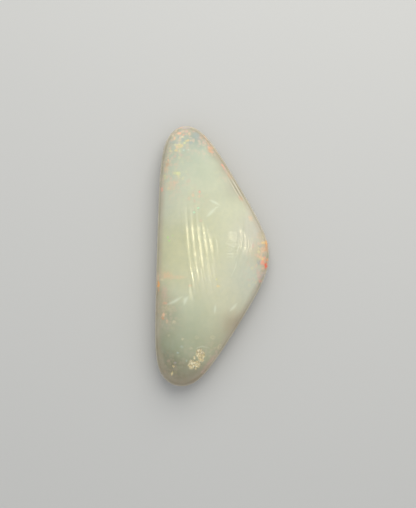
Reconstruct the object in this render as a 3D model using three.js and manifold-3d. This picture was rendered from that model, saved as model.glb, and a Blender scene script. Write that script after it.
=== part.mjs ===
// A polished freeform opal: one solid stone, ground by hand into a long rounded triangle
// with a full crown, a rounded rim and a flat back. Millimetres, +Z up, +Y along the stone.
import * as THREE from "three";
import { mergeVertices } from "three/addons/utils/BufferGeometryUtils.js";
import Module from "manifold-3d";

// The plan is five flats ground round the stone, each at a direction from +X and a distance
// from the middle, with the corners between them rubbed round by one softness.
const RIM_FLATS = [
  { side: "long left side", direction: 178.3, distance: 6.8 },
  { side: "upper right side", direction: 30.8, distance: 7.3 },
  { side: "lower right side", direction: -32.0, distance: 7.25 },
  { side: "top end", direction: 108.2, distance: 17.66 },
  { side: "bottom end", direction: -106.7, distance: 17.65 },
];
const CORNER_SOFTNESS = 1.87;

// The section: a low girdle, a crown that rises fast from it to a nearly flat top, and a
// rounded under-edge that ends on the flat back.
const GIRDLE_HEIGHT = 1.7;
const CROWN_RISE = 3.5;
const CROWN_FLATNESS = 1.8;
const CROWN_FULLNESS = 2.3;
const UNDER_EDGE_WIDTH = 1.5;

// Broad places where the polishing wheel left the crown a little high or low.
const SWELLS = [
  { place: "shoulder before the right tip", x: 4.9, y: 0.9, reach: 1.5, rise: 0.22 },
  { place: "hollow between summit and shoulder", x: 2.3, y: 0.9, reach: 1.7, rise: -0.1 },
  { place: "fuller belly towards the bottom end", x: -2.6, y: -7.5, reach: 3.2, rise: 0.12 },
];

// Soft sandstone pockets near the bottom end, worn a little below the polished face.
const POCKET_DEPTH = 0.16;
const POCKETS = [
  { x: -1.35, y: -12.25, width: 1.0, length: 1.5, turn: -12 },
  { x: -2.58, y: -13.3, width: 0.75, length: 1.1, turn: -8 },
  { x: -1.8, y: -13.4, width: 0.7, length: 1.05, turn: 14 },
];

// How finely the faceted solid follows the stone.
const AROUND = 144;
const CROWN_RINGS = 16;
const UNDER_RINGS = 5;
const FLAT_RINGS = 1;
const POCKET_FACETS = 18;

// Limits of the searches below: the longest reach from the summit to the rim, the smallest
// step that still matters, and the points that measure the rim's length.
const LONGEST_REACH = 40;
const SMALLEST_STEP = 1e-6;
const RIM_SAMPLES = 2880;

const radians = THREE.MathUtils.degToRad;
const flats = RIM_FLATS.map((flat) => ({
  x: Math.cos(radians(flat.direction)),
  y: Math.sin(radians(flat.direction)),
  distance: flat.distance,
}));

// How far a plan point lies inside the rim: a soft minimum of its distances to the flats.
function inset(x, y) {
  const crowding = flats.reduce((sum, flat) => {
    const gap = flat.distance - flat.x * x - flat.y * y;
    return sum + Math.exp(-gap / CORNER_SOFTNESS);
  }, 0);
  return -CORNER_SOFTNESS * Math.log(crowding);
}

// The summit is the point farthest inside, found by walking uphill in shrinking steps.
function findSummit() {
  const best = new THREE.Vector2(0, 0);
  for (let step = 1; step > SMALLEST_STEP; ) {
    const tries = [[step, 0], [-step, 0], [0, step], [0, -step]];
    const uphill = tries.find(([dx, dy]) => inset(best.x + dx, best.y + dy) > inset(best.x, best.y));
    if (uphill) best.add(new THREE.Vector2(...uphill));
    else step /= 2;
  }
  return best;
}
const summit = findSummit();
const deepest = inset(summit.x, summit.y);

// How far from the summit, in one direction, the inset has fallen to a given level.
function reach(angle, level) {
  let near = 0;
  let far = LONGEST_REACH;
  while (far - near > SMALLEST_STEP) {
    const middle = (near + far) / 2;
    const x = summit.x + middle * Math.cos(angle);
    const y = summit.y + middle * Math.sin(angle);
    if (inset(x, y) > level) near = middle;
    else far = middle;
  }
  return near;
}

// Directions that divide the rim into equal lengths, so that the round ends stay smooth.
function evenDirections(count) {
  const angles = Array.from({ length: RIM_SAMPLES + 1 }, (_, i) => (2 * Math.PI * i) / RIM_SAMPLES);
  const rim = angles.map((a) => new THREE.Vector2(Math.cos(a), Math.sin(a)).multiplyScalar(reach(a, 0)));
  const walked = [0];
  for (let i = 1; i <= RIM_SAMPLES; i++) {
    walked.push(walked[i - 1] + rim[i].distanceTo(rim[i - 1]));
  }
  return Array.from({ length: count }, (_, k) => {
    const target = (walked[RIM_SAMPLES] * k) / count;
    const i = walked.findIndex((length) => length > target);
    const share = (target - walked[i - 1]) / (walked[i] - walked[i - 1]);
    return THREE.MathUtils.lerp(angles[i - 1], angles[i], share);
  });
}

// The uneven polish at a plan point: the sum of the swells, each a smooth round hump.
function swell(x, y) {
  return SWELLS.reduce((sum, s) => {
    const away = ((x - s.x) ** 2 + (y - s.y) ** 2) / (2 * s.reach ** 2);
    return sum + s.rise * Math.exp(-away);
  }, 0);
}

// Height of the polished crown over a plan point. Swells fade out before the girdle.
function crownHeight(x, y) {
  const share = THREE.MathUtils.clamp(inset(x, y) / deepest, 0, 1);
  const dome = (1 - (1 - share) ** CROWN_FLATNESS) ** (1 / CROWN_FULLNESS);
  return GIRDLE_HEIGHT + CROWN_RISE * dome + swell(x, y) * Math.min(1, 3 * share);
}

// One ring of the section: the level of inset it follows, and whether it is on the crown.
function ringAt(ring) {
  if (ring <= CROWN_RINGS) {
    const turn = (Math.PI / 2) * (ring / CROWN_RINGS);
    return { level: deepest * Math.cos(turn) ** 2, height: crownHeight };
  }
  const below = ring - CROWN_RINGS;
  const turn = (Math.PI / 2) * Math.min(1, below / UNDER_RINGS);
  const inward = THREE.MathUtils.clamp((below - UNDER_RINGS) / FLAT_RINGS, 0, 1);
  const level = THREE.MathUtils.lerp(UNDER_EDGE_WIDTH * (1 - Math.cos(turn)), deepest, inward);
  return { level, height: () => GIRDLE_HEIGHT * (1 - Math.sin(turn)) };
}

// The stone starts as a sphere. Its meridians become the even directions and its parallels
// become rings of equal inset, from the summit over the girdle to the middle of the back.
function stoneGeometry() {
  const rings = CROWN_RINGS + UNDER_RINGS + FLAT_RINGS;
  const sphere = new THREE.SphereGeometry(1, AROUND, rings);
  const directions = evenDirections(AROUND);
  const place = sphere.getAttribute("position");
  const uv = sphere.getAttribute("uv");
  for (let i = 0; i < place.count; i++) {
    const angle = directions[Math.round(uv.getX(i) * AROUND) % AROUND];
    const { level, height } = ringAt(Math.round((1 - uv.getY(i)) * rings));
    const away = level < deepest ? reach(angle, level) : 0;
    const x = summit.x + away * Math.cos(angle);
    const y = summit.y + away * Math.sin(angle);
    place.setXYZ(i, x, y, height(x, y));
  }
  return sphere;
}

// A shallow lens that wears one pocket into the crown.
function pocketGeometry(pocket) {
  const { x, y, width, length, turn } = pocket;
  const lens = new THREE.SphereGeometry(1, POCKET_FACETS, POCKET_FACETS / 2);
  lens.rotateX(Math.PI / 2);
  lens.scale(width / 2, length / 2, POCKET_DEPTH);
  lens.rotateZ(radians(turn));
  const riseX = crownHeight(x + width / 2, y) - crownHeight(x - width / 2, y);
  const riseY = crownHeight(x, y + length / 2) - crownHeight(x, y - length / 2);
  const outward = new THREE.Vector3(-riseX / width, -riseY / length, 1).normalize();
  lens.applyQuaternion(new THREE.Quaternion().setFromUnitVectors(new THREE.Vector3(0, 0, 1), outward));
  lens.translate(x, y, crownHeight(x, y));
  return lens;
}

const wasm = await Module();
wasm.setup();

// A closed geometry as a solid, with its shared corners merged.
function solidFrom(geometry) {
  const bare = geometry.clone();
  bare.deleteAttribute("normal");
  bare.deleteAttribute("uv");
  const merged = mergeVertices(bare, 1e-4);
  return new wasm.Manifold(
    new wasm.Mesh({
      numProp: 3,
      vertProperties: new Float32Array(merged.getAttribute("position").array),
      triVerts: new Uint32Array(merged.index.array),
    }),
  );
}

function geometryFrom(solid) {
  const { numProp, vertProperties, triVerts } = solid.getMesh();
  const places = vertProperties.filter((_, i) => i % numProp < 3);
  return new THREE.BufferGeometry()
    .setAttribute("position", new THREE.BufferAttribute(places, 3))
    .setIndex(new THREE.BufferAttribute(triVerts, 1));
}

const worn = POCKETS.reduce(
  (solid, pocket) => solid.subtract(solidFrom(pocketGeometry(pocket))),
  solidFrom(stoneGeometry()),
);

// Milky opal body, polished: a pale cream green.
const polishedOpal = new THREE.MeshStandardMaterial({ color: 0xd0d2b4, roughness: 0.15, metalness: 0 });

const opal = new THREE.Mesh(geometryFrom(worn), polishedOpal);
opal.name = "opal";

const specimen = new THREE.Group();
specimen.add(opal);

export default specimen;
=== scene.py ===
# %% [markdown]
# A polished freeform opal
#
# This lesson dresses one stone: a milky opal that a cutter has ground into a long rounded
# triangle and polished. The solid model gives its true size and place. Here it gets the
# fine surface a solid model leaves out: polishing marks, sandy pockets, and the colour
# that seems to float inside the stone. Every length is in millimetres until it is handed
# to Blender, which works in metres.

# %% Load the frame
import math

import bmesh
import bpy
from mathutils import Matrix, Vector, noise


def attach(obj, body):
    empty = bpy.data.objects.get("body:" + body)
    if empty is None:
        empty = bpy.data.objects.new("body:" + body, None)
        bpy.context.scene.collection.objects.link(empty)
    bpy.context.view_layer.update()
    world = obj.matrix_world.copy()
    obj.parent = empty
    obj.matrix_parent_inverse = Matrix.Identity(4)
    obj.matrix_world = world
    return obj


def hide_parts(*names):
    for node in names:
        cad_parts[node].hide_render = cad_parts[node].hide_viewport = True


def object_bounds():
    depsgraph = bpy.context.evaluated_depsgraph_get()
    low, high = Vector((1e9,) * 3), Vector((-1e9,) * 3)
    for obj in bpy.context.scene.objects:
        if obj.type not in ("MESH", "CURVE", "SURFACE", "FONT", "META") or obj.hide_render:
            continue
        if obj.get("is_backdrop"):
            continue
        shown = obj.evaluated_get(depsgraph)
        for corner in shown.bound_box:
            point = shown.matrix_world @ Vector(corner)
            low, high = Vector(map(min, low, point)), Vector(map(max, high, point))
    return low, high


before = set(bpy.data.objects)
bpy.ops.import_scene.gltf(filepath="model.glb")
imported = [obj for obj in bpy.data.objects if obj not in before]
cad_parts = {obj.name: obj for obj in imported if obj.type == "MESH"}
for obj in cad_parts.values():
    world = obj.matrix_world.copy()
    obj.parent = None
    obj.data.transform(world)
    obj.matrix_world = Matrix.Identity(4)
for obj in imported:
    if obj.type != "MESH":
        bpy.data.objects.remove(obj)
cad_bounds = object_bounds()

MM = 0.001
cad_low, cad_high = cad_bounds
cad_size = (cad_high - cad_low) / MM
print(f"the solid stone is {cad_size.x:.2f} x {cad_size.y:.2f} x {cad_size.z:.2f} mm")

# %% [markdown]
# The camera
#
# The stone lies flat and the picture was taken from straight above. The camera is set by
# one fact that can be measured in the picture: how many pixels long the stone is. From
# that follows how much of the table the picture covers, and so the lens.
#
# A camera makes high places look a little further out than they are. All marks on the
# stone were measured in the picture, so a second function says where a point of the stone
# is seen. Marks are then looked up there, and each lands on the right spot.

# %% Camera
PHOTO_WIDTH, PHOTO_HEIGHT = 416, 508
STONE_LENGTH_PIXELS = 259.9
STONE_CENTRE_PIXEL = Vector((212.1, 256.2))
MARKS_ZERO_PIXEL = Vector((211.8, 255.0))
CAMERA_HEIGHT = 150
SENSOR_HEIGHT = 24
GIRDLE_HEIGHT = 1.7

pixel = cad_size.y / STONE_LENGTH_PIXELS
picture_height = pixel * PHOTO_HEIGHT
camera_spot = Vector((
    (PHOTO_WIDTH / 2 - STONE_CENTRE_PIXEL.x) * pixel,
    (STONE_CENTRE_PIXEL.y - PHOTO_HEIGHT / 2) * pixel,
))

camera_data = bpy.data.cameras.new("overhead_camera")
camera_data.sensor_fit = "VERTICAL"
camera_data.sensor_height = SENSOR_HEIGHT
camera_data.lens = SENSOR_HEIGHT * (CAMERA_HEIGHT - GIRDLE_HEIGHT) / picture_height
camera_data.clip_start = 1 * MM
camera = bpy.data.objects.new("overhead_camera", camera_data)
bpy.context.scene.collection.objects.link(camera)
camera.location = Vector((*camera_spot, CAMERA_HEIGHT)) * MM
bpy.context.scene.camera = camera


def as_seen(x, y, z):
    """Where the overhead camera sees a point, in millimetres from the zero of the marks."""
    spread = (CAMERA_HEIGHT - GIRDLE_HEIGHT) / (CAMERA_HEIGHT - z)
    seen = camera_spot + (Vector((x, y)) - camera_spot) * spread
    zero = (MARKS_ZERO_PIXEL - STONE_CENTRE_PIXEL) * pixel
    return seen.x - zero.x, seen.y + zero.y


print(f"one pixel is {pixel:.3f} mm and the lens is {camera_data.lens:.1f} mm")

# %% [markdown]
# Two small helpers
#
# Colours are written as the hex values that a paint program shows. The renderer works
# with linear light, so one function turns one into the other. A second one adds a shader
# node, sets it and wires it up in a single call.

# %% Colour and node helpers


def linear(hex_colour):
    """An sRGB hex colour as linear red, green, blue and alpha."""
    parts = [int(hex_colour[i:i + 2], 16) / 255 for i in (1, 3, 5)]
    curve = [c / 12.92 if c <= 0.04045 else ((c + 0.055) / 1.055) ** 2.4 for c in parts]
    return (*curve, 1.0)


def add_node(tree, kind, inputs=None, **settings):
    """A new node. inputs holds plain values, or sockets of other nodes to link from."""
    node = tree.nodes.new(kind)
    for name, value in settings.items():
        setattr(node, name, value)
    for socket, value in (inputs or {}).items():
        if isinstance(value, bpy.types.NodeSocket):
            tree.links.new(value, node.inputs[socket])
        else:
            node.inputs[socket].default_value = value
    return node


def new_material(name):
    """A material with an empty node tree and its output node."""
    material = bpy.data.materials.new(name)
    material.use_nodes = True
    material.node_tree.nodes.clear()
    output = add_node(material.node_tree, "ShaderNodeOutputMaterial")
    return material, material.node_tree, output


# %% [markdown]
# The stage
#
# A plain pale sheet lies under the stone. It isn't part of the object, so it is marked as
# stage. Card has a matt face, so its roughness is high and its colour nearly neutral.

# %% Floor
FLOOR_SIZE = 1200
FLOOR_GAP = 0.02
CARD_COLOUR = "#c6c6c3"
CARD_ROUGHNESS = 0.85

floor_mesh = bpy.data.meshes.new("pale_card")
floor_shape = bmesh.new()
bmesh.ops.create_grid(floor_shape, x_segments=1, y_segments=1, size=FLOOR_SIZE / 2 * MM)
bmesh.ops.translate(floor_shape, vec=(0, 0, -FLOOR_GAP * MM), verts=floor_shape.verts)
floor_shape.to_mesh(floor_mesh)
floor_shape.free()
floor = bpy.data.objects.new("pale_card", floor_mesh)
bpy.context.scene.collection.objects.link(floor)
floor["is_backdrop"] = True

card, card_tree, card_output = new_material("matt_card")
card_shader = add_node(card_tree, "ShaderNodeBsdfPrincipled", {
    "Base Color": linear(CARD_COLOUR),
    "Roughness": CARD_ROUGHNESS,
})
card_tree.links.new(card_shader.outputs["BSDF"], card_output.inputs["Surface"])
floor_mesh.materials.append(card)
print("floor ready")

# %% [markdown]
# The light
#
# Two kinds of light do two jobs. One large soft box beyond the top end and a pale sky
# shape the stone, and let its lower end fall into shade as in the picture. The lamps are
# there for the polish alone: a glossy face shows a lamp only where it is tilted half way
# towards it, so a small lamp draws thin bright lines along the marks of the polishing
# wheel, and a large faint one gives the lines their long soft ends. Keeping the jobs apart
# lets one be changed without spoiling the other.

# %% Lights
scene = bpy.context.scene
scene.view_settings.view_transform = "Standard"
DAYLIGHT = "#fffdf8"
LAMPLIGHT = "#fff1c4"
WINDOW_LIGHT = "#fff5dc"
SUNSET_LIGHT = "#ffefc8"
SKY_COLOUR = "#f4f6fa"
SKY_STRENGTH = 0.64
KEY_PLACE, KEY_AIM = (25, 105, 120), (-1, 4, 3)
KEY_SIDE = 150
KEY_RADIANCE = 2.9
LEFT_AIM = (-1.5, 1.5, 5)

# Each lamp has a place, an aim, a width, a length, a radiance and a colour.
POLISH_LAMPS = {
    "left_lamp": ((-54, 5, 300), LEFT_AIM, 42, 17, 16, LAMPLIGHT),
    "low_left_lamp": ((-54, -14, 300), LEFT_AIM, 42, 9, 2.4, LAMPLIGHT),
    "left_glow": ((-54, 15, 302), LEFT_AIM, 46, 74, 3.0, LAMPLIGHT),
    "middle_lamp": ((98, 24, 294), (2.4, 1.0, 5), 53, 39, 5.4, WINDOW_LIGHT),
    "right_lamp": ((204, 52, 262), (4.4, 1.0, 5), 56, 110, 10, SUNSET_LIGHT),
}


def light_panel(name, place, aim, wide, long, radiance, colour):
    """A rectangular light in millimetres, its long side in line with the stone."""
    data = bpy.data.lights.new(name, "AREA")
    data.shape = "RECTANGLE"
    data.size = wide * MM
    data.size_y = long * MM
    data.energy = radiance * math.pi * wide * long * MM ** 2
    data.color = linear(colour)[:3]
    light = bpy.data.objects.new(name, data)
    scene.collection.objects.link(light)
    back = (Vector(place) - Vector(aim)).normalized()
    side = Vector((0, 1, 0)).cross(back).normalized()
    light.rotation_euler = Matrix((side, back.cross(side), back)).transposed().to_euler()
    light.location = Vector(place) * MM
    light.visible_camera = False
    return light


key = light_panel("key", KEY_PLACE, KEY_AIM, KEY_SIDE, KEY_SIDE, KEY_RADIANCE, DAYLIGHT)
key.visible_glossy = False
for name, settings in POLISH_LAMPS.items():
    lamp = light_panel(name, *settings)
    lamp.visible_diffuse = False

world = bpy.data.worlds.new("studio")
scene.world = world
world.use_nodes = True
background = world.node_tree.nodes["Background"]
background.inputs["Color"].default_value = linear(SKY_COLOUR)
background.inputs["Strength"].default_value = SKY_STRENGTH
print(f"one key light and {len(POLISH_LAMPS)} polish lamps ready")

# %% [markdown]
# The outline of the stone
#
# A cutter grinds a freeform outline as a few flats and then rubs the corners round. The
# same idea makes the plan here: five straight sides, each with a direction and a distance
# from the middle, blended by one softness. The blend gives a number at every point of the
# plan, the inset, which is zero on the rim and grows towards the middle. Rim, under edge
# and dome can all be drawn from that one number. The summit is where the inset is largest,
# and is found by walking uphill in ever smaller steps.

# %% Plan
RIM_FLATS = {
    "long left side": (178.3, 6.8),
    "upper right side": (30.8, 7.3),
    "lower right side": (-32.0, 7.25),
    "top end": (108.2, 17.66),
    "bottom end": (-106.7, 17.65),
}
CORNER_SOFTNESS = 1.87
SMALLEST_STEP = 1e-6

flats = [
    (math.cos(math.radians(direction)), math.sin(math.radians(direction)), distance)
    for direction, distance in RIM_FLATS.values()
]


def inset(x, y):
    """How far a plan point lies inside the rim, in millimetres."""
    crowding = sum(math.exp((a * x + b * y - distance) / CORNER_SOFTNESS) for a, b, distance in flats)
    return -CORNER_SOFTNESS * math.log(crowding)


summit = Vector((0, 0))
step = 1.0
while step > SMALLEST_STEP:
    tries = [summit + Vector(d) * step for d in ((1, 0), (-1, 0), (0, 1), (0, -1))]
    best = max(tries, key=lambda p: inset(*p))
    if inset(*best) > inset(*summit):
        summit = best
    else:
        step /= 2
deepest = inset(*summit)
print(f"the summit is at {summit.x:.2f}, {summit.y:.2f} mm, {deepest:.2f} mm inside the rim")

# %% [markdown]
# Finding a place on the plan
#
# The stone will be pulled out of a sphere, so each point of the sphere needs a place on
# the plan. Two questions are enough: in which direction from the summit, and how far out.
# The directions are spaced so that they divide the rim evenly, which keeps the narrow
# ends as finely meshed as the long side.

# %% Reach and directions
LONGEST_REACH = 40
REACH_ERROR = 1e-5
RIM_SAMPLES = 1440


def reach(angle, level):
    """Distance from the summit, in one direction, to where the inset has a given value."""
    ahead = Vector((math.cos(angle), math.sin(angle)))
    near, far = 0.0, LONGEST_REACH
    while far - near > REACH_ERROR:
        middle = (near + far) / 2
        if inset(*(summit + ahead * middle)) > level:
            near = middle
        else:
            far = middle
    return near


sample_angles = [math.tau * i / RIM_SAMPLES for i in range(RIM_SAMPLES + 1)]
sample_points = [Vector((math.cos(a), math.sin(a))) * reach(a, 0) for a in sample_angles]
walked = [0.0]
for before, after in zip(sample_points, sample_points[1:]):
    walked.append(walked[-1] + (after - before).length)


def rim_direction(share):
    """The direction that points to a given share of the way round the rim."""
    target = share % 1 * walked[-1]
    low, high = 0, RIM_SAMPLES
    while high - low > 1:
        middle = (low + high) // 2
        if walked[middle] > target:
            high = middle
        else:
            low = middle
    part = (target - walked[low]) / (walked[high] - walked[low])
    return sample_angles[low] + part * (sample_angles[high] - sample_angles[low])


print(f"the rim is {walked[-1]:.1f} mm round")

# %% [markdown]
# The section of the stone
#
# From the girdle, its widest line, the crown rises fast and then levels off. Below the
# girdle the edge is rounded under to the flat back. A crown that was polished by hand is
# never a perfect dome, so broad swells, each a fraction of a millimetre, move its surface
# up or down. The first three are in the solid model too. The others are under a tenth of a
# millimetre and only steer the reflections, so the solid goes without them.

# %% Section
CROWN_RISE = 3.5
CROWN_FLATNESS = 1.8
CROWN_FULLNESS = 2.3
UNDER_EDGE_WIDTH = 1.5
SWELL_RUN_UP = 3

# Each swell has a place, a reach and a rise.
SWELLS = {
    "shoulder before the right tip": (4.9, 0.9, 1.5, 0.22),
    "hollow between summit and shoulder": (2.3, 0.9, 1.7, -0.1),
    "fuller belly towards the bottom end": (-2.6, -7.5, 3.2, 0.12),
    "slight rise of the heart": (-1.2, 1.0, 3.5, 0.04),
    "fuller crown right of the summit": (0.8, 0.96, 1.17, 0.08),
    "fuller slope above the shoulder": (3.23, 3.27, 0.84, 0.08),
    "fuller left side above the middle": (-3.9, 5.2, 1.9, 0.042),
    "fuller left side below the middle": (-3.8, -3.0, 1.9, 0.043),
    "flatter crest above the middle": (-0.9, 5.2, 1.9, -0.023),
    "flatter crest below the middle": (-0.6, -3.2, 1.9, -0.016),
    "flatter heart": (-2.4, 1.0, 1.6, -0.06),
}


def bell(distance, width):
    """One at the middle, falling smoothly to nothing over about two and a half widths."""
    return math.exp(-0.5 * (distance / width) ** 2)


def smooth(value, start, end):
    """Zero before start, one after end, and a smooth ramp between."""
    share = min(1.0, max(0.0, (value - start) / (end - start)))
    return share * share * (3 - 2 * share)


def crown_height(x, y):
    """Height of the crown over a plan point. The swells fade out towards the girdle."""
    share = min(1.0, max(0.0, inset(x, y) / deepest))
    dome = (1 - (1 - share) ** CROWN_FLATNESS) ** (1 / CROWN_FULLNESS)
    swell = sum(rise * bell(math.hypot(x - cx, y - cy), width) for cx, cy, width, rise in SWELLS.values())
    return GIRDLE_HEIGHT + CROWN_RISE * dome + swell * min(1.0, SWELL_RUN_UP * share)


print(f"the crown is {crown_height(*summit):.2f} mm high at the summit")

# %% [markdown]
# What the polishing wheel left
#
# Seen in a low light the crown isn't smooth. The wheel travelled along the stone and left
# shallow flutes side by side, half a millimetre to a millimetre wide and a few hundredths
# of a millimetre deep. The eye hardly sees their shape, but each one bends the reflection
# of a lamp into its own thin line. They could be painted as white lines, but then they
# would stay put when the stone turns. As real relief they catch the light only where they
# should. Finer marks lie between them, and this cell only says where.

# %% Wheel marks
# Each long flute has a left and a right edge, a tilt, and where its top and its foot fade.
LONG_FLUTES = {
    "first": (-3.22, -2.36, 10, 6.4, -5.0),
    "second": (-2.36, -1.50, 10, 6.8, -4.2),
    "third": (-1.50, -0.66, 10, 7.2, -5.0),
    "fourth": (-0.66, 0.03, 10, 4.6, -5.0),
    "short one": (0.03, 0.97, 7.5, 3.2, -5.5),
}
LEAN_SHIFT, LEAN_SLOPE, LEAN_CURVE = 0.094, 0.16, 0.01
FLUTE_FADE = 1.5
TOP_OVERRUN = 0.5

# Each shoulder flute has a left and a right edge and a tilt.
SHOULDER_FLUTES = {
    "first": (2.95, 3.66, 15),
    "second": (3.66, 4.23, 12),
    "third": (4.23, 4.72, 10),
    "outer": (4.72, 5.30, 13),
}
BOW_MIDDLE, BOW_SLOPE, BOW_CURVE = 1.0, 0.17, 0.039
SHOULDER_MIDDLE, SHOULDER_REACH = 1.2, 2.0


def flute(distance, left, right, tilt):
    """Height over one shallow rounded flute, which meets its neighbours at a tilt in degrees."""
    across = (distance - left) / (right - left) - 0.5
    return math.tan(math.radians(tilt)) * (right - left) * max(0.0, 0.25 - across * across)


def wheel_marks(x, y):
    """Fine relief of the polished crown where it is seen, in millimetres."""
    lean = x + LEAN_SHIFT + LEAN_SLOPE * y - LEAN_CURVE * y * y
    bow = x - BOW_SLOPE * (y - BOW_MIDDLE) + BOW_CURVE * (y - BOW_MIDDLE) ** 2
    height = 0.0
    for left, right, tilt, top, foot in LONG_FLUTES.values():
        above = smooth(y, top - FLUTE_FADE, top + TOP_OVERRUN)
        fade = (1 - above) * smooth(y, foot - FLUTE_FADE, foot + FLUTE_FADE)
        height += fade * flute(lean, left, right, tilt)
    for left, right, tilt in SHOULDER_FLUTES.values():
        height += bell(y - SHOULDER_MIDDLE, SHOULDER_REACH) * flute(bow, left, right, tilt)
    return height


# Where marks too fine for the mesh lie: across the stone they start, are full, ease off and
# end, and along it they have a middle and a reach.
FINE_MARKS = {
    "ripples between the flutes": (1.5, 2.0, 3.1, 3.5, 0.9, 1.1),
    "chatter on the long flutes": (-3.4, -2.8, 0.6, 1.2, 1.0, 3.0),
    "hatching on the shoulder": (3.0, 3.5, 5.1, 5.5, 1.4, 1.0),
}
GRINDING_DEPTHS = (0.08, 0.2, 0.75, 1.0)
GRINDING_PLACE, GRINDING_REACH = (3.2, 8.3), 0.9


def fine_polish(x, y):
    """How strongly each kind of fine mark shows at a place."""
    return [
        smooth(x, start, full) * (1 - smooth(x, ease, end)) * bell(y - middle, span)
        for start, full, ease, end, middle, span in FINE_MARKS.values()
    ]


def rim_grinding(depth, x, y):
    """Where coarser grinding lines run beside the upper right rim, by depth inside it."""
    start, full, ease, end = GRINDING_DEPTHS
    band = smooth(depth, start, full) * (1 - smooth(depth, ease, end))
    return bell(math.hypot(x - GRINDING_PLACE[0], y - GRINDING_PLACE[1]), GRINDING_REACH) * band


profile = [wheel_marks(hundredth / 100, SHOULDER_MIDDLE) for hundredth in range(-400, 600)]
print(f"{len(LONG_FLUTES) + len(SHOULDER_FLUTES)} flutes, the highest {max(profile):.3f} mm")

# %% [markdown]
# Pockets of sand
#
# Opal fills the gaps in sandstone, and near the bottom end this stone kept a little of
# it. The sand is softer than opal, so it wears below the polish and feels rough. Each
# pocket is an ellipse whose edge is roughened with noise, a little sunk, with grains of
# about a third of a millimetre standing up from its floor.

# %% Sand pockets
POCKET_DEPTH = 0.14
GRAIN_SIZE = 0.3
GRAIN_HEIGHT = 0.12
GRAIN_ROUNDNESS = 0.8
GRAIN_GAP = 0.25
POCKET_EDGE = (0.94, 1.06)

# Two noises fray the edge. Each has an amount, waves per millimetre and a layer of its own.
EDGE_NOISES = ((0.2, 2.6, 3.0), (0.14, 6, 7.0))
GRAIN_LAYER = 0.5

# Each pocket has a place, a half width, a half length and a turn in degrees.
SAND_POCKETS = {
    "right patch, upper part": (-1.40, -12.11, 0.54, 0.62, 0),
    "right patch, foot": (-1.30, -12.60, 0.40, 0.54, -8),
    "left patch, left lobe": (-2.48, -13.42, 0.42, 0.58, -6),
    "left patch, right lobe": (-1.80, -13.40, 0.42, 0.42, -35),
    "crumb under the gap": (-1.95, -13.92, 0.13, 0.13, 0),
    "neck of the left patch": (-2.12, -12.60, 0.10, 0.22, 12),
    "upper pin hole": (-4.72, -13.66, 0.13, 0.17, 0),
    "lower pin hole": (-4.86, -14.55, 0.12, 0.30, -14),
}


def in_ellipse(x, y, ellipse):
    """Distance from an ellipse's centre as a share of its radius in that direction."""
    cx, cy, half_width, half_length, turn = ellipse
    angle = math.radians(turn)
    along_x = (x - cx) * math.cos(angle) + (y - cy) * math.sin(angle)
    along_y = (y - cy) * math.cos(angle) - (x - cx) * math.sin(angle)
    return math.hypot(along_x / half_width, along_y / half_length)


def sand_nearness(x, y):
    """Below one inside the sand, and just above one close around it."""
    ragged = sum(amount * noise.noise((x * rate, y * rate, layer)) for amount, rate, layer in EDGE_NOISES)
    return ragged + min(in_ellipse(x, y, pocket) for pocket in SAND_POCKETS.values())


def sand_amount(x, y):
    """One inside the sand, zero on the opal."""
    return 1 - smooth(sand_nearness(x, y), *POCKET_EDGE)


def sand_relief(x, y):
    """The pocket sinks below the polish, and the grains stand up from its floor."""
    amount = sand_amount(x, y)
    if amount == 0:
        return 0.0
    distances, _ = noise.voronoi((x / GRAIN_SIZE, y / GRAIN_SIZE, GRAIN_LAYER))
    middle, edge = distances[0], distances[1] - distances[0]
    grain = math.sqrt(max(0.0, 1 - (middle / GRAIN_ROUNDNESS) ** 2)) * smooth(edge, 0.0, GRAIN_GAP)
    return amount * (GRAIN_HEIGHT * grain - POCKET_DEPTH)


print(f"{len(SAND_POCKETS)} pockets of sand")

# %% [markdown]
# Pulling the stone out of a sphere
#
# An icosphere has no poles and no long thin faces, which suits a stone. It is made coarse
# and then only its upper side is subdivided twice, because the fine marks are all there.
# After that every vertex slides to its place on the stone: its angle from the top says
# how far out and how high, and its heading says in which direction.

# %% Stone mesh
BASE_DETAIL = 6
FINE_FROM = (-0.3, -0.03)
UNDER_EDGE_SHARE = 0.4


def plan_point(angle, level):
    """The point of the plan in one direction from the summit, at a given inset."""
    return summit + Vector((math.cos(angle), math.sin(angle))) * reach(angle, level)


def place_on_stone(direction):
    """The point of the stone, in millimetres, for a direction from the sphere's centre."""
    polar = math.acos(max(-1.0, min(1.0, direction.z)))
    angle = rim_direction(math.atan2(direction.y, direction.x) / math.tau)
    if polar <= math.pi / 2:
        out = plan_point(angle, deepest * math.cos(polar) ** 2)
        height = crown_height(*out)
        mark = as_seen(*out, height)
        return Vector((*out, height + wheel_marks(*mark) + sand_relief(*mark)))
    below = polar / (math.pi / 2) - 1
    turn = math.pi / 2 * min(1.0, below / UNDER_EDGE_SHARE)
    inward = math.pi / 2 * max(0.0, (below - UNDER_EDGE_SHARE) / (1 - UNDER_EDGE_SHARE))
    edge = UNDER_EDGE_WIDTH * (1 - math.cos(turn))
    out = plan_point(angle, deepest - (deepest - edge) * math.cos(inward) ** 2)
    return Vector((*out, GIRDLE_HEIGHT * (1 - math.sin(turn))))


shape = bmesh.new()
bmesh.ops.create_icosphere(shape, subdivisions=BASE_DETAIL, radius=1)
for lowest in FINE_FROM:
    upper = [e for e in shape.edges if all(v.co.z > lowest for v in e.verts)]
    bmesh.ops.subdivide_edges(shape, edges=upper, cuts=1, use_grid_fill=True)
bmesh.ops.triangulate(shape, faces=[f for f in shape.faces if len(f.verts) > 3])
for vert in shape.verts:
    vert.co = place_on_stone(vert.co.normalized()) * MM
bmesh.ops.recalc_face_normals(shape, faces=shape.faces)

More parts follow.
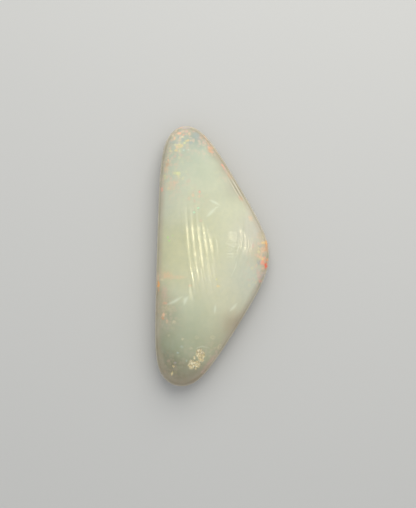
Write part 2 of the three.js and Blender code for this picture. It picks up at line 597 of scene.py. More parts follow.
stone_mesh = bpy.data.meshes.new("opal_stone")
shape.to_mesh(stone_mesh)
shape.free()
stone_mesh.shade_smooth()
stone = bpy.data.objects.new("opal_stone", stone_mesh)
scene.collection.objects.link(stone)
print(f"the stone has {len(stone_mesh.polygons)} triangles")

# %% [markdown]
# Painting the body colour
#
# Milky opal isn't one colour. It is warmer where it is thick and cooler where it is
# thin, and here it drifts from a grey mint at the top, over cream in the middle, to a
# grey green foot with a brown hem. The darker foot, its dark left corner, the grey left
# side low down and the bottom end are partly painted shade: the lower end is darkened in
# the colour as well as by the light. An artist would airbrush that. So does this cell: each
# named spot has a place, a reach and a colour, and every vertex takes the average of the
# spots near it. The result is stored on the mesh as a colour attribute.

# %% Body tints and painted shade
NEXT_TO_NOTHING = 1e-9

# Each tint has a place, a reach and a colour.
BODY_TINTS_AND_PAINTED_SHADE = {
    "grey mint cap": (-2.4, 13.6, 2.4, "#b0b8a9"),
    "blue grey of the cap": (-1.8, 14.5, 0.9, "#7e928c"),
    "mint belt": (-1.8, 10.4, 2.6, "#cdd3ba"),
    "upper right slope": (1.4, 8.2, 2.2, "#c9cbb3"),
    "upper right hem": (3.0, 8.4, 0.9, "#a89f90"),
    "hem above it": (1.8, 10.8, 0.75, "#8e826a"),
    "hem by the peach patch": (0.75, 12.5, 0.6, "#8b7e66"),
    "left shoulder": (-4.8, 6.6, 2.2, "#ced1bd"),
    "cream heart": (-1.0, 2.8, 3.2, "#cfcfab"),
    "right heart": (2.2, 3.4, 2.2, "#d7d8bf"),
    "lilac shoulder": (4.8, 3.0, 1.5, "#c8c3b8"),
    "cool lower shoulder": (4.6, -2.4, 2.0, "#cbcfbf"),
    "olive left belly": (-4.6, 0.4, 2.4, "#cecda8"),
    "left hem": (-6.4, -6.0, 0.9, "#b0a585"),
    "lower heart": (0.6, -5.0, 3.0, "#d8d5b8"),
    "green belly": (-2.6, -7.6, 2.4, "#bcc4a9"),
    # Painted shade: the darker spots from here down also darken the lower end.
    "grey left side": (-5.8, -8.5, 1.4, "#a39c85"),
    "grey green foot": (-3.8, -11.0, 2.2, "#9ea689"),
    "warm lower right": (0.4, -10.6, 2.0, "#bab898"),
    "lower right hem": (2.6, -8.6, 0.9, "#b1997d"),
    "left corner of the foot": (-5.6, -13.2, 1.2, "#71694e"),
    "olive of the bottom end": (-3.4, -14.4, 0.9, "#9f9e81"),
    "brown hem": (-3.2, -15.4, 1.6, "#897a66"),
    "right tip": (6.4, 0.0, 1.0, "#d1be96"),
}
tint_and_shade_spots = [(x, y, size, Vector(linear(colour)[:3])) for x, y, size, colour in BODY_TINTS_AND_PAINTED_SHADE.values()]


def body_tint_with_painted_shade(x, y):
    """The airbrushed body colour over a plan point, with painted shade at the lower end."""
    total = Vector((0, 0, 0))
    weight = NEXT_TO_NOTHING
    for cx, cy, size, colour in tint_and_shade_spots:
        share = bell(math.hypot(x - cx, y - cy), size)
        total += colour * share
        weight += share
    return total / weight


print(f"{len(tint_and_shade_spots)} body tints")

# %% [markdown]
# Painting the play of colour
#
# Precious opal is packed with tiny spheres of silica, and where they are stacked in good
# order they split white light. In this stone that happens only in small flecks, mostly
# near the rim. The ones that catch the eye are placed one by one, as they lie in the
# stone: a place, a half width, a half length, a turn, a hue and a strength. Noise bends
# and breaks their edges, because a fleck follows the packing and never a clean ellipse. It
# is plain noise, read once for each direction, because Blender's vector noise can change
# from one run to the next.

# %% Colour flecks
FIRE_HUES = {
    "salmon": "#fdb096",
    "peach": "#f0caa6",
    "apricot": "#dcae88",
    "cream": "#efe3bd",
    "gold": "#f6d992",
    "lemon": "#efeca4",
    "amber": "#fdb562",
    "orange": "#ff9a4e",
    "scarlet": "#ff7350",
    "rose": "#e3b8aa",
    "mint": "#c8fbd6",
    "spring": "#aef57e",
    "frost": "#cfe2dc",
    "lilac": "#bcb2b8",
    "slate": "#a5b2b0",
    "moss": "#a3ad8c",
    "straw": "#c3b690",
}

# Each fleck has a place, a half width, a half length, a turn, a hue and a strength.
FLECKS = {
    "the cap": [
        (-4.0, 14.93, 0.23, 0.15, 10, "salmon", 0.7),
        (-3.41, 14.78, 0.15, 0.10, 0, "salmon", 0.5),
        (-3.11, 15.15, 0.16, 0.16, 0, "rose", 0.6),
        (-2.73, 14.84, 0.18, 0.16, 20, "peach", 0.6),
        (-2.19, 15.15, 0.14, 0.12, 0, "rose", 0.3),
        (-3.67, 14.56, 0.25, 0.11, -5, "cream", 0.7),
        (-4.59, 14.3, 0.12, 0.22, 0, "peach", 0.7),
        (-4.78, 14.62, 0.18, 0.10, 35, "cream", 0.5),
        (-2.97, 14.04, 0.25, 0.12, 10, "gold", 0.5),
        (-3.34, 13.75, 0.14, 0.10, 0, "lemon", 0.6),
        (-3.95, 13.35, 0.36, 0.20, 10, "gold", 0.5),
        (-4.41, 12.86, 0.18, 0.14, 10, "gold", 0.6),
        (-5.07, 12.75, 0.18, 0.14, 0, "lemon", 0.35),
        (-3.42, 12.9, 0.12, 0.10, 0, "frost", 0.5),
        (-2.85, 12.9, 0.12, 0.10, 0, "frost", 0.4),
        (-4.55, 12.09, 0.20, 0.16, 0, "rose", 0.4),
        (-3.72, 12.23, 0.17, 0.15, 0, "rose", 0.25),
        (-4.85, 13.86, 0.39, 0.14, -5, "slate", 0.6),
        (-4.18, 13.74, 0.20, 0.12, 0, "lilac", 0.6),
        (-1.9, 14.7, 0.42, 0.26, -20, "slate", 0.6),
        (-1.62, 14.28, 0.22, 0.17, 0, "lilac", 0.4),
        (-3.08, 15.58, 0.43, 0.14, 0, "lilac", 0.6),
        (-3.79, 15.31, 0.20, 0.11, 0, "slate", 0.4),
        (-2.46, 14.38, 0.20, 0.15, 0, "slate", 0.35),
    ],
    "left side of the upper half": [
        (-5.3, 11.64, 0.12, 0.14, 0, "peach", 0.95),
        (-5.44, 11.15, 0.22, 0.30, 0, "apricot", 0.6),
        (-5.59, 10.52, 0.25, 0.32, 0, "peach", 0.45),
        (-4.07, 10.02, 0.20, 0.21, 0, "lemon", 0.55),
        (-4.46, 10.07, 0.30, 0.16, 0, "lemon", 0.4),
        (-4.05, 9.6, 0.15, 0.20, 0, "lemon", 0.3),
        (-5.76, 9.58, 0.14, 0.32, 0, "lemon", 0.35),
        (-5.49, 9.62, 0.11, 0.30, 0, "peach", 0.35),
        (-4.48, 8.91, 0.21, 0.15, 0, "peach", 0.4),
        (-5.19, 8.37, 0.52, 0.42, 0, "peach", 0.24),
        (-4.58, 8.66, 0.32, 0.25, 0, "rose", 0.14),
        (-2.86, 9.13, 0.25, 0.20, 0, "rose", 0.2),
        (-6.14, 8.02, 0.15, 0.27, 0, "salmon", 0.55),
    ],
    "upper right rim": [
        (-3.86, 15.68, 0.42, 0.09, 25, "salmon", 0.5),
        (-1.3, 14.5, 0.21, 0.27, 30, "apricot", 0.25),
        (-0.82, 14.4, 0.11, 0.30, 30, "apricot", 0.6),
        (-1.05, 13.82, 0.11, 0.10, 0, "rose", 0.5),
        (-0.45, 13.69, 0.10, 0.30, 30, "apricot", 0.5),
        (-0.15, 13.0, 0.30, 0.36, 0, "apricot", 0.8),
        (0.0, 12.66, 0.28, 0.13, 0, "salmon", 0.45),
        (-0.35, 13.3, 0.20, 0.20, 0, "rose", 0.3),
        (1.38, 10.88, 0.10, 0.27, 32, "salmon", 0.75),
        (1.65, 10.41, 0.12, 0.30, 32, "rose", 0.5),
        (2.22, 9.7, 0.17, 0.42, 32, "apricot", 0.5),
        (3.55, 6.99, 0.20, 0.34, 32, "apricot", 0.55),
        (4.75, 4.55, 0.22, 0.30, 30, "peach", 0.45),
    ],
    "middle": [
        (-1.53, 7.73, 0.14, 0.12, 0, "salmon", 0.7),
        (-2.3, 7.36, 0.16, 0.21, 0, "peach", 0.5),
        (-1.55, 7.19, 0.11, 0.20, 0, "peach", 0.45),
        (-2.76, 6.94, 0.15, 0.22, 0, "peach", 0.3),
        (-2.12, 6.65, 0.17, 0.17, 0, "rose", 0.25),
        (-1.66, 5.74, 0.14, 0.10, 0, "mint", 0.9),
        (-2.17, 5.26, 0.14, 0.11, 0, "mint", 0.5),
        (-1.35, 4.21, 0.15, 0.15, 0, "rose", 0.4),
        (-5.4, 2.17, 0.11, 0.15, 0, "spring", 0.6),
        (-5.24, 1.77, 0.10, 0.11, 0, "spring", 0.5),
        (-4.82, 2.34, 0.10, 0.10, 0, "spring", 0.2),
        (-2.65, -3.79, 0.20, 0.14, 0, "peach", 0.45),
        (0.76, -3.82, 0.16, 0.14, 0, "gold", 0.55),
        (0.59, -2.98, 0.11, 0.11, 0, "lemon", 0.6),
        (5.05, 1.1, 0.11, 0.20, 0, "rose", 0.55),
    ],
    "right tip": [
        (6.36, 1.51, 0.25, 0.16, 0, "gold", 0.75),
        (6.74, 1.48, 0.15, 0.40, -6, "amber", 1.0),
        (6.63, 0.74, 0.27, 0.37, 0, "apricot", 0.8),
        (6.24, 0.68, 0.22, 0.30, 0, "peach", 0.6),
        (6.88, -0.06, 0.15, 0.30, 0, "moss", 0.7),
        (5.90, -0.25, 0.28, 0.12, -25, "peach", 0.85),
        (6.45, -0.30, 0.16, 0.16, 0, "salmon", 0.8),
        (6.24, -0.52, 0.14, 0.12, 0, "gold", 0.8),
        (6.74, -0.58, 0.15, 0.17, 0, "orange", 0.85),
        (6.24, -0.92, 0.28, 0.30, 0, "salmon", 0.85),
        (6.65, -1.32, 0.17, 0.34, -8, "scarlet", 1.0),
        (6.30, -1.69, 0.19, 0.27, 0, "peach", 0.5),
        (5.75, -0.86, 0.19, 0.31, 0, "slate", 0.6),
        (5.92, 1.10, 0.22, 0.20, 0, "slate", 0.45),
        (6.26, -1.94, 0.16, 0.15, 0, "moss", 0.5),
        (5.69, -2.09, 0.20, 0.30, 0, "rose", 0.4),
        (6.18, -2.46, 0.15, 0.40, -25, "lilac", 0.5),
        (5.87, -2.71, 0.25, 0.20, 0, "rose", 0.4),
        (5.96, -3.22, 0.17, 0.17, 0, "salmon", 0.6),
        (6.10, 2.35, 0.40, 0.50, 0, "straw", 0.4),
    ],
    "left rim": [
        (-4.84, -2.71, 1.48, 0.21, 0, "peach", 0.34),
        (-5.54, -2.41, 0.52, 0.34, 0, "peach", 0.42),
        (-6.13, -3.02, 0.20, 0.14, 0, "cream", 0.5),
        (-6.56, -3.62, 0.14, 0.33, 0, "amber", 0.95),
        (-6.62, -2.65, 0.12, 0.42, 0, "peach", 0.5),
        (-6.51, -4.26, 0.10, 0.20, 0, "orange", 0.4),
        (-5.83, -4.55, 0.30, 0.74, 0, "rose", 0.3),
        (-5.74, -5.88, 0.34, 0.15, 25, "salmon", 0.35),
        (-5.34, -6.57, 0.54, 0.37, 0, "cream", 0.22),
        (-5.93, -7.34, 0.14, 0.26, -20, "peach", 0.95),
        (-5.98, -7.78, 0.12, 0.20, 20, "orange", 0.45),
        (-5.51, -8.12, 0.14, 0.25, 10, "peach", 0.45),
        (-4.65, -8.25, 0.22, 0.20, 0, "cream", 0.35),
        (-5.61, -7.21, 0.11, 0.12, 0, "cream", 0.3),
    ],
    "foot": [
        (-3.57, -10.31, 0.16, 0.15, 0, "cream", 0.45),
        (-5.29, -9.87, 0.17, 0.12, 0, "cream", 0.25),
        (-1.85, -10.12, 0.20, 0.17, 0, "cream", 0.25),
        (0.12, -10.12, 0.27, 0.18, 0, "cream", 0.3),
        (-4.16, -11.99, 0.14, 0.11, 0, "frost", 0.5),
        (-3.13, -12.97, 0.11, 0.16, 0, "frost", 0.35),
        (-4.5, -13.19, 0.15, 0.11, 0, "lilac", 0.5),
        (-5.34, -13.02, 0.20, 0.15, 0, "rose", 0.35),
        (-2.56, -11.45, 0.20, 0.15, 0, "cream", 0.3),
        (-0.05, -12.95, 0.22, 0.60, -38, "rose", 0.3),
        (-0.64, -13.65, 0.20, 0.45, -42, "rose", 0.25),
        (0.91, -11.3, 0.22, 0.32, -35, "cream", 0.35),
        (-3.72, -11.25, 0.17, 0.15, 0, "frost", 0.3),
        (-1.03, -14.33, 0.30, 0.15, 38, "rose", 0.3),
    ],
}
FLECK_GLOW = 1.2
FLECK_FADE = (0.45, 1.4)
FLECK_LIMIT = 1.7

# Noises that bend a fleck, each with an amount, waves per millimetre and a layer, and one
# that breaks it up, by waves per millimetre, layer, middle, swing and the least it leaves.
FLECK_BENDS = ((0.08, 2.2, 1.0), (0.04, 6.0, 4.0))
LAYERS_APART = 20.5
BREAK_RATE, BREAK_LAYER, BREAK_MIDDLE, BREAK_SWING, BREAK_LEAST = 4.6, 9.0, 0.9, 1.3, 0.15

fleck_list = [
    (
        (x, y, half_width * FLECK_GLOW, half_length * FLECK_GLOW, turn),
        max(half_width, half_length) * FLECK_GLOW * FLECK_LIMIT,
        Vector(linear(FIRE_HUES[hue])[:3]),
        strength,
    )
    for group in FLECKS.values() for x, y, half_width, half_length, turn, hue, strength in group
]


def two_noises(x, y, layer):
    """A noise for each direction, from plain noise, which repeats from run to run."""
    return Vector((noise.noise((x, y, layer)), noise.noise((x, y, layer + LAYERS_APART))))


def play_of_colour(x, y):
    """The mixed colour of the flecks at a place, and their strength together."""
    bend = Vector((0, 0))
    for amount, rate, layer in FLECK_BENDS:
        bend += two_noises(x * rate, y * rate, layer) * amount
    swing = BREAK_SWING * noise.noise((x * BREAK_RATE, y * BREAK_RATE, BREAK_LAYER))
    broken = min(1.0, max(BREAK_LEAST, BREAK_MIDDLE + swing))
    total, weight, clear = Vector((0, 0, 0)), NEXT_TO_NOTHING, 1.0
    for ellipse, far, colour, strength in fleck_list:
        if abs(x - ellipse[0]) > far or abs(y - ellipse[1]) > far:
            continue
        nearness = in_ellipse(x + bend.x, y + bend.y, ellipse)
        here = strength * broken * (1 - smooth(nearness, *FLECK_FADE))
        total += colour * here
        weight += here
        clear *= 1 - here
    return total / weight, 1 - clear


print(f"{len(fleck_list)} colour flecks")

# %% [markdown]
# Pinfire
#
# Between the flecks the same play of colour goes on at the scale of pinheads, as a faint
# patchwork. It is too fine to place by hand, so the material will draw it. This cell only
# says where it shows: soft spots with a place, a reach and a strength. A few more spots say
# where some of the pinheads look cool and grey instead of warm.

# %% Pinfire regions
PINFIRE_SPOTS = {
    "over the cap": (-3.5, 14.4, 1.4, 0.9),
    "left of the cap": (-5.1, 12.7, 1.1, 0.5),
    "left side below it": (-5.4, 10.3, 1.3, 0.32),
    "yellow patch": (-4.3, 9.6, 1.1, 0.35),
    "left shoulder": (-5.4, 8.0, 1.2, 0.28),
    "right of the cap": (-0.9, 13.7, 0.8, 0.5),
    "peach patch": (-0.1, 12.8, 0.7, 0.6),
    "upper right rim": (1.8, 9.8, 0.7, 0.4),
    "between the flutes": (-1.8, 7.2, 0.9, 0.35),
    "right tip": (6.3, 0.1, 1.0, 0.8),
    "above the tip": (6.2, 2.0, 0.8, 0.5),
    "below the tip": (6.0, -1.6, 1.0, 0.7),
    "lower right rim": (5.4, -3.2, 0.9, 0.4),
    "left rim": (-6.3, -3.0, 0.9, 0.5),
    "lower left rim": (-5.7, -6.2, 1.2, 0.25),
    "left side of the belly": (-5.3, -7.9, 1.2, 0.25),
    "bottom end": (-4.8, -13.6, 1.2, 0.25),
    "rim at the lower right": (0.4, -12.0, 0.9, 0.4),
    "around the sand": (-2.6, -12.0, 1.3, 0.12),
}
COOL_SPOTS = {
    "over the cap": (-3.8, 14.2, 1.0, 1.0),
    "right side of the cap": (-2.0, 14.2, 0.8, 0.8),
    "right tip": (6.2, -0.2, 0.8, 0.8),
}


def spots_strength(x, y, spots):
    """How clearly a pattern shows at a place, from its soft spots."""
    return min(1.0, sum(
        strength * bell(math.hypot(x - cx, y - cy), size) for cx, cy, size, strength in spots.values()
    ))


print(f"pinfire in {len(PINFIRE_SPOTS)} soft spots")

# %% [markdown]
# Healed cracks
#
# A few feathery pale streaks cross the crown. They are old cracks that silica has sealed.
# Each is a line through a few points with a half width, thickest in its middle and thin at
# its ends.

# %% Healed cracks
TAPER_START, TAPER_SPAN = 0.12, 0.76
HEALED_CRACKS = {
    "upper arrow, short arm": ([(-0.32, 6.77), (0.39, 6.46), (1.01, 6.10)], 0.10),
    "upper arrow, bend": ([(0.89, 5.91), (0.52, 5.83), (0.25, 5.55)], 0.06),
    "upper arrow, long arm": ([(0.52, 5.83), (0.15, 5.44), (-0.28, 5.01), (-0.65, 4.70)], 0.14),
    "lower streak": ([(-5.5, -6.1), (-4.6, -5.7), (-3.6, -5.1)], 0.13),
    "flame beside it": ([(-3.4, -6.1), (-3.25, -5.5), (-2.9, -5.1)], 0.17),
    "wisp under the shoulder": ([(3.1, -5.9), (2.7, -6.4), (2.2, -6.9)], 0.12),
    "wisp below the heart": ([(0.45, -6.1), (0.35, -7.2)], 0.09),
    "arc above the sand": ([(-2.1, -11.5), (-1.2, -11.2), (-0.2, -11.45)], 0.03),
    "thread below the shoulder": ([(3.15, -0.4), (2.9, -1.5), (2.35, -2.7)], 0.03),
}


def healed_crack(x, y):
    """How strongly a healed crack shows at a place."""
    strongest = 0.0
    here = Vector((x, y))
    for points, width in HEALED_CRACKS.values():
        spans = len(points) - 1
        for i in range(spans):
            start, end = Vector(points[i]), Vector(points[i + 1])
            line = end - start
            along = max(0.0, min(1.0, (here - start).dot(line) / line.length_squared))
            taper = math.sin(math.pi * (TAPER_START + TAPER_SPAN * (i + along) / spans))
            away = (here - start - line * along).length
            strongest = max(strongest, bell(away, width * taper) * taper)
    return strongest


print(f"{len(HEALED_CRACKS)} healed cracks")

# %% [markdown]
# The rim
#
# Seen from above, the last millimetre of a rounded stone turns steeply away. There
# the picture shows three thin bands: a pale outline, a darker line just inside it, and a
# beige band where the opal thins out over brown potch, the common opal that precious opal
# grows on. The pale outline is a painted highlight, the light the steep rim catches, and
# the darker line is painted shade where the crown turns down. They follow the rim, so
# they are drawn from the inset.

# %% Rim bands
# The outline colour is a painted highlight and the line colour is painted shade.
RIM_PAINTED_HIGHLIGHT = Vector(linear("#dccfb4")[:3])
RIM_PAINTED_SHADE_LINE = Vector(linear("#8c7c5c")[:3])
RIM_BAND = Vector(linear("#b9a891")[:3])
HIGHLIGHT_SHOWS, HIGHLIGHT_FADE = 0.5, (0.05, 0.16)
LINE_SHOWS, LINE_DEPTH, LINE_WIDTH = 0.4, 0.25, 0.07
BAND_SHOWS, BAND_FADE = 0.5, (0.35, 1.0)


def rim_tint_with_painted_light(colour, depth):
    """The body colour with the rim bands over it, by depth inside the rim: a beige band, a line of painted
    shade and a painted highlight at the outline.
    """
    colour = colour.lerp(RIM_BAND, BAND_SHOWS * (1 - smooth(depth, *BAND_FADE)))
    colour = colour.lerp(RIM_PAINTED_SHADE_LINE, LINE_SHOWS * bell(depth - LINE_DEPTH, LINE_WIDTH))
    return colour.lerp(RIM_PAINTED_HIGHLIGHT, HIGHLIGHT_SHOWS * (1 - smooth(depth, *HIGHLIGHT_FADE)))


print("rim bands ready")

# %% [markdown]
# Storing the paint on the mesh
#
# Colour attributes travel with the mesh and need no picture file. One holds the body
# colour, with its painted shade at the lower end and the painted highlight and shade of
# the rim, and the cool pinheads as alpha. One holds the flecks, with their strength as
# alpha. A third holds four plain masks: sand in red, healed cracks in green, the ground
# underside in blue, and pinfire as alpha. The last one holds the polishing marks: ripples
# in red, chatter in green, hatching in blue, and the grinding lines by the rim as alpha.
#
# Marks are looked up as the camera sees them from above, which would draw the flecks of
# the rim out into streaks down the flank. So they fade out over the last bit above the
# girdle, where the crown stands almost upright.

# %% Paint attributes
CROWN_FADE = (GIRDLE_HEIGHT, GIRDLE_HEIGHT + 0.8)
UNDERSIDE_FADE = (1.5, 0.4)

PAINTS = ("body", "fire", "masks", "polish")
for name in PAINTS:
    stone_mesh.color_attributes.new(name, "FLOAT_COLOR", "POINT")
body, fire, masks, polish = (stone_mesh.color_attributes[name].data for name in PAINTS)
for index, vertex in enumerate(stone_mesh.vertices):
    x, y, z = vertex.co / MM
    mark = as_seen(x, y, z)
    crown = smooth(z, *CROWN_FADE)
    depth = inset(x, y) if z > GIRDLE_HEIGHT else 0.0
    hue, strength = play_of_colour(*mark)
    body[index].color = (*rim_tint_with_painted_light(body_tint_with_painted_shade(*mark), depth), spots_strength(*mark, COOL_SPOTS) * crown)
    polish[index].color = (*(trace * crown for trace in fine_polish(*mark)), rim_grinding(depth, *mark))
    fire[index].color = (*hue, strength * crown)
    masks[index].color = (
        sand_amount(*mark) * crown,
        healed_crack(*mark) * crown,
        smooth(z, *UNDERSIDE_FADE),
        spots_strength(*mark, PINFIRE_SPOTS) * crown,
    )
print("paint stored")

# %% [markdown]
# The finish
#
# Polished opal is a glass-like mineral: hydrated silica with a refractive index of
# about 1.45, polished with fine oxide until it reflects like glass. The milkiness comes
# from light that enters, scatters and leaves again a millimetre away, which is what
# subsurface scattering does.

# %% Polished opal material
# A Mix node has several sockets of the same name, so its colour sockets go by number.
MIX_FACTOR, MIX_FIRST, MIX_SECOND, MIX_RESULT = 0, 6, 7, 2
CLOUD_ROUGHNESS = 0.55

opal, tree, output = new_material("polished_milky_opal")
place = add_node(tree, "ShaderNodeTexCoord")
mapping = add_node(tree, "ShaderNodeMapping", {
    "Vector": place.outputs["Object"],
    "Scale": (1 / MM, 1 / MM, 1 / MM),
})
millimetres = mapping.outputs["Vector"]


def attribute(name):
    """Reads one of the paints from the mesh."""
    return add_node(tree, "ShaderNodeAttribute", attribute_name=name)


def mix(factor, first, second):
    """Mixes two colours by a factor. Each may be a value or a socket."""
    inputs = {MIX_FACTOR: factor, MIX_FIRST: first, MIX_SECOND: second}
    return add_node(tree, "ShaderNodeMix", inputs, data_type="RGBA").outputs[MIX_RESULT]


def ramp(value, low, high, start=0.0, end=1.0):
    """Stretches a value, so that low becomes start and high becomes end."""
    node = add_node(tree, "ShaderNodeMapRange", {
        "Value": value, "From Min": low, "From Max": high, "To Min": start, "To Max": end,
    })
    return node.outputs["Result"]


def cloud(size, detail=2.0, low=0.35, high=0.65, where=None):
    """Soft noise with features of a real size in millimetres, stretched to 0 and 1."""
    texture = add_node(tree, "ShaderNodeTexNoise", {
        "Vector": where or millimetres, "Scale": 1 / size, "Detail": detail, "Roughness": CLOUD_ROUGHNESS,
    })
    return ramp(texture.outputs["Fac"], low, high)


def math_of(operation, first, second):
    """Multiplies or adds two numbers. Each may be a value or a socket."""
    return add_node(tree, "ShaderNodeMath", {0: first, 1: second}, operation=operation).outputs["Value"]


def scaled(value, factor):
    """One number times another."""
    return math_of("MULTIPLY", value, factor)


def together(first, second):
    """One number plus another."""
    return math_of("ADD", first, second)


mask_paint = attribute("masks")
mask_parts = add_node(tree, "ShaderNodeSeparateColor", {"Color": mask_paint.outputs["Color"]})
sand, crack, underside = (mask_parts.outputs[name] for name in ("Red", "Green", "Blue"))
pinfire = mask_paint.outputs["Alpha"]
print("paint read by the material")

# %% [markdown]
# Depth in the milk
#
# Two clouds, one of a few millimetres and one of half a millimetre, keep the body colour
# from looking like paint. Over them comes the pinfire: a Voronoi pattern of cells, bent by
# noise. Each cell gets one hue of a short list, and only some cells are lit. Real pinfire
# goes down to a tenth of a millimetre. Its cells are drawn at four tenths, about three
# pixels, because anything finer would blur away.

# %% Milk and pinfire
# Each cloud of the milk has a size, how much it shows and a colour.
MILK_CLOUDS = ((2.6, 0.12, "#ecebd4"), (0.55, 0.10, "#a3b2a4"))
PINFIRE_CELL = 0.42
PINFIRE_BEND = 0.34
BENDS_PER_MM = 3.0
PINFIRE_HUES = ("#e8cbb2", "#f0deb4", "#d3dac6", "#ebd0ac", "#ebe2b2", "#e0d6c0")
PINFIRE_SHADE = "#a7b0b2"
LIT_CELLS = (0.25, 0.6)
COOL_CELLS = (0.55, 0.65)
CELL_FADE = (0.75, 0.35)
PINFIRE_SHOWS = 0.6

body_paint_with_painted_light = attribute("body")
colour = body_paint_with_painted_light.outputs["Color"]
for size, shows, tint in MILK_CLOUDS:
    colour = mix(scaled(cloud(size), shows), colour, linear(tint))

bending = add_node(tree, "ShaderNodeTexNoise", {
    "Vector": millimetres, "Scale": BENDS_PER_MM, "Detail": 2.0,
})
bent = add_node(tree, "ShaderNodeVectorMath", {
    0: bending.outputs["Color"], 1: (PINFIRE_BEND,) * 3, 2: millimetres,
}, operation="MULTIPLY_ADD")
cells = add_node(tree, "ShaderNodeTexVoronoi", {"Vector": bent.outputs["Vector"], "Scale": 1 / PINFIRE_CELL})
cell_parts = add_node(tree, "ShaderNodeSeparateColor", {"Color": cells.outputs["Color"]})
cell_hue = add_node(tree, "ShaderNodeValToRGB", {"Fac": cell_parts.outputs["Red"]})
hue_stops = cell_hue.color_ramp
hue_stops.interpolation = "CONSTANT"
for index, hue in enumerate(PINFIRE_HUES):
    stop = hue_stops.elements[index] if index < 2 else hue_stops.elements.new(0)
    stop.position = index / len(PINFIRE_HUES)
    stop.color = linear(hue)
cool_cell = scaled(ramp(cell_parts.outputs["Blue"], *COOL_CELLS), body_paint_with_painted_light.outputs["Alpha"])
cell_colour = mix(cool_cell, cell_hue.outputs["Color"], linear(PINFIRE_SHADE))
lit = scaled(ramp(cell_parts.outputs["Green"], *LIT_CELLS), pinfire)
soft_cell = ramp(cells.outputs["Distance"], *CELL_FADE)
colour = mix(scaled(scaled(lit, soft_cell), PINFIRE_SHOWS), colour, cell_colour)
print(f"pinfire in {len(PINFIRE_HUES)} hues")

# %% Flecks and healed cracks
FLECKS_SHOW = 0.95
CRACKS_SHOW = 0.45
CRACK_COLOUR = "#eef4e2"

fire_paint = attribute("fire")
colour = mix(scaled(fire_paint.outputs["Alpha"], FLECKS_SHOW), colour, fire_paint.outputs["Color"])
colour = mix(scaled(crack, CRACKS_SHOW), colour, linear(CRACK_COLOUR))
print("flecks and cracks over the milk")

# %% [markdown]
# Sand and the ground back
#
# The sand grains have their own cell pattern, of the size the relief used, and the gaps
# between them are darkened with painted shade. The back of the stone was only ground flat.
# It shows brown grey potch with the long fine scratches of the grinding disc, and it
# scatters light where the crown mirrors it.

# %% Sand
SAND_PALE, SAND_BRIGHT = "#e3d3a4", "#fff6d6"
SAND_STAIN, STAIN_SIZE, STAIN_SHOWS = "#bdac84", 0.16, 0.3
# The gap colour is painted shade between the grains.
SAND_GAP_SHADE, GAP_EDGE, GAP_SHOWS = "#8f8560", (0.12, 0.02), 0.6

grains = add_node(tree, "ShaderNodeTexVoronoi", {"Vector": millimetres, "Scale": 1 / GRAIN_SIZE})
grain_parts = add_node(tree, "ShaderNodeSeparateColor", {"Color": grains.outputs["Color"]})
grain_edges = add_node(tree, "ShaderNodeTexVoronoi", {
    "Vector": millimetres, "Scale": 1 / GRAIN_SIZE,
}, feature="DISTANCE_TO_EDGE")
sand_colour = mix(grain_parts.outputs["Red"], linear(SAND_PALE), linear(SAND_BRIGHT))
stain = scaled(cloud(STAIN_SIZE, detail=3.0), STAIN_SHOWS)
sand_colour = mix(stain, sand_colour, linear(SAND_STAIN))
painted_gap_shade = scaled(ramp(grain_edges.outputs["Distance"], *GAP_EDGE), GAP_SHOWS)
sand_colour = mix(painted_gap_shade, sand_colour, linear(SAND_GAP_SHADE))
colour = mix(sand, colour, sand_colour)
print("sand coloured")

# %% Ground back
POTCH_DARK, POTCH_LIGHT, POTCH_CLOUD = "#9c9078", "#bdb49c", 3.4
SCRATCH_COLOUR, SCRATCHES_SHOW = "#d4cdb9", 0.25
SCRATCH_HEADING = 24
SCRATCHES_PER_MM = (9.0, 0.25, 1.0)
POLISH_ROUGHNESS, SAND_ROUGHNESS = 0.06, 0.85
GROUND_ADDS_ROUGHNESS = 0.34

long_scratches = add_node(tree, "ShaderNodeMapping", {
    "Vector": millimetres, "Rotation": (0, 0, math.radians(SCRATCH_HEADING)), "Scale": SCRATCHES_PER_MM,
})
scratch = cloud(1.0, low=0.3, high=0.7, where=long_scratches.outputs["Vector"])
potch = mix(cloud(POTCH_CLOUD, detail=3.0), linear(POTCH_DARK), linear(POTCH_LIGHT))
potch = mix(scaled(scratch, SCRATCHES_SHOW), potch, linear(SCRATCH_COLOUR))
colour = mix(underside, colour, potch)

crown_roughness = ramp(sand, 0.0, 1.0, POLISH_ROUGHNESS, SAND_ROUGHNESS)
roughness = together(crown_roughness, scaled(underside, GROUND_ADDS_ROUGHNESS))
print("back coloured")

# %% [markdown]
# The finest marks
#
# Relief finer than the mesh is given to the material as bump. A wave pattern draws the
# marks that follow each other along the stone, each kind with its own real length, and the
# paint says where it shows. The lines beside the upper right rim come from a coarser
# grinding wheel. Besides their bump they are coloured as light and dark stripes: painted
# highlight and painted shade for the light they catch. The real ones are finer and closer,
# so they are drawn as coarse as they need to show, about three pixels apart. Last come the
# grit of the sand and the scratches of the back.

# %% Fine relief
RIPPLE_LENGTH, RIPPLE_WANDER, RIPPLE_HEIGHT = 0.39, 2.2, 0.010
CHATTER_LENGTH, CHATTER_WANDER, CHATTER_HEIGHT = 0.82, 2.5, 0.003
FINE_CHATTER_HEIGHT = 0.0008
HATCHING_LENGTH, HATCHING_WANDER, HATCHING_HEIGHT = 0.16, 2.0, 0.0004
GRINDING_LENGTH, GRINDING_WANDER, GRINDING_HEIGHT = 0.36, 0.8, 0.008
GRINDING_PAINTED_HIGHLIGHT, GRINDING_PAINTED_SHADE, GRINDING_SHOWS = "#eae4d0", "#857f63", 0.6
GRIT_SIZE, GRIT_HEIGHT = 0.12, 0.03
SCRATCH_HEIGHT = 0.01

# At a scale of one, a Wave node draws a wave every tau / 20.
WAVE_UNIT = math.tau / 20


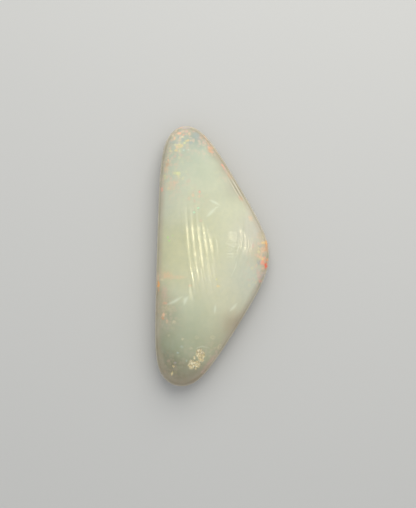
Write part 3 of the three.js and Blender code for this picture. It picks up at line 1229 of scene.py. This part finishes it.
def waves(length, wander, across="Y", where=None):
    """Waves that follow each other along one axis, of a real length and slightly uneven."""
    texture = add_node(tree, "ShaderNodeTexWave", {
        "Vector": where or millimetres, "Scale": WAVE_UNIT / length,
        "Distortion": wander, "Detail": 2.0, "Detail Scale": 1.5,
    }, wave_type="BANDS", bands_direction=across)
    return texture.outputs["Fac"]


def relief(pattern, strength, height):
    """A height in millimetres: a pattern where its mask shows it."""
    return scaled(scaled(pattern, strength), height)


rim_heading = math.radians(RIM_FLATS["upper right side"][0])
facing_rim = add_node(tree, "ShaderNodeMapping", {"Vector": millimetres, "Rotation": (0, 0, -rim_heading)})
grinding = waves(GRINDING_LENGTH, GRINDING_WANDER, across="X", where=facing_rim.outputs["Vector"])
polish_paint = attribute("polish")
beside_rim = polish_paint.outputs["Alpha"]
# Painted highlight and painted shade stripes along the grinding lines.
painted_grinding_light = mix(grinding, linear(GRINDING_PAINTED_HIGHLIGHT), linear(GRINDING_PAINTED_SHADE))
colour = mix(scaled(beside_rim, GRINDING_SHOWS), colour, painted_grinding_light)

polish_parts = add_node(tree, "ShaderNodeSeparateColor", {"Color": polish_paint.outputs["Color"]})
rippled, chattered, hatched = (polish_parts.outputs[name] for name in ("Red", "Green", "Blue"))
ripples = waves(RIPPLE_LENGTH, RIPPLE_WANDER)
fine_relief = relief(ripples, rippled, RIPPLE_HEIGHT)
for pattern, strength, height in (
    (ripples, chattered, FINE_CHATTER_HEIGHT),
    (waves(CHATTER_LENGTH, CHATTER_WANDER), chattered, CHATTER_HEIGHT),
    (waves(HATCHING_LENGTH, HATCHING_WANDER), hatched, HATCHING_HEIGHT),
    (grinding, beside_rim, GRINDING_HEIGHT),
    (cloud(GRIT_SIZE, detail=3.0, low=0.3, high=0.7), sand, GRIT_HEIGHT),
    (scratch, underside, SCRATCH_HEIGHT),
):
    fine_relief = together(fine_relief, relief(pattern, strength, height))
print("fine relief ready")

# %% Shader
OPAL_IOR = 1.45
MILKINESS = 0.85
MILK_REACH = 1.0
MILK_COLOUR_REACH = (1.0, 0.95, 0.8)

bump = add_node(tree, "ShaderNodeBump", {"Height": fine_relief, "Distance": MM, "Strength": 1.0})
shader = add_node(tree, "ShaderNodeBsdfPrincipled", {
    "Base Color": colour,
    "Roughness": roughness,
    "IOR": OPAL_IOR,
    "Normal": bump.outputs["Normal"],
    "Subsurface Weight": MILKINESS,
    "Subsurface Radius": MILK_COLOUR_REACH,
    "Subsurface Scale": MILK_REACH * MM,
})
tree.links.new(shader.outputs["BSDF"], output.inputs["Surface"])
stone_mesh.materials.append(opal)
print(f"the opal material has {len(tree.nodes)} nodes")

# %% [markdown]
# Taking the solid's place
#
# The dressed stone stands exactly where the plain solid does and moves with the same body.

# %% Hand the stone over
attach(stone, "root")
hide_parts("opal")

visual_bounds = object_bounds()
visual_size = (visual_bounds[1] - visual_bounds[0]) / MM
print(f"the dressed stone is {visual_size.x:.2f} x {visual_size.y:.2f} x {visual_size.z:.2f} mm")
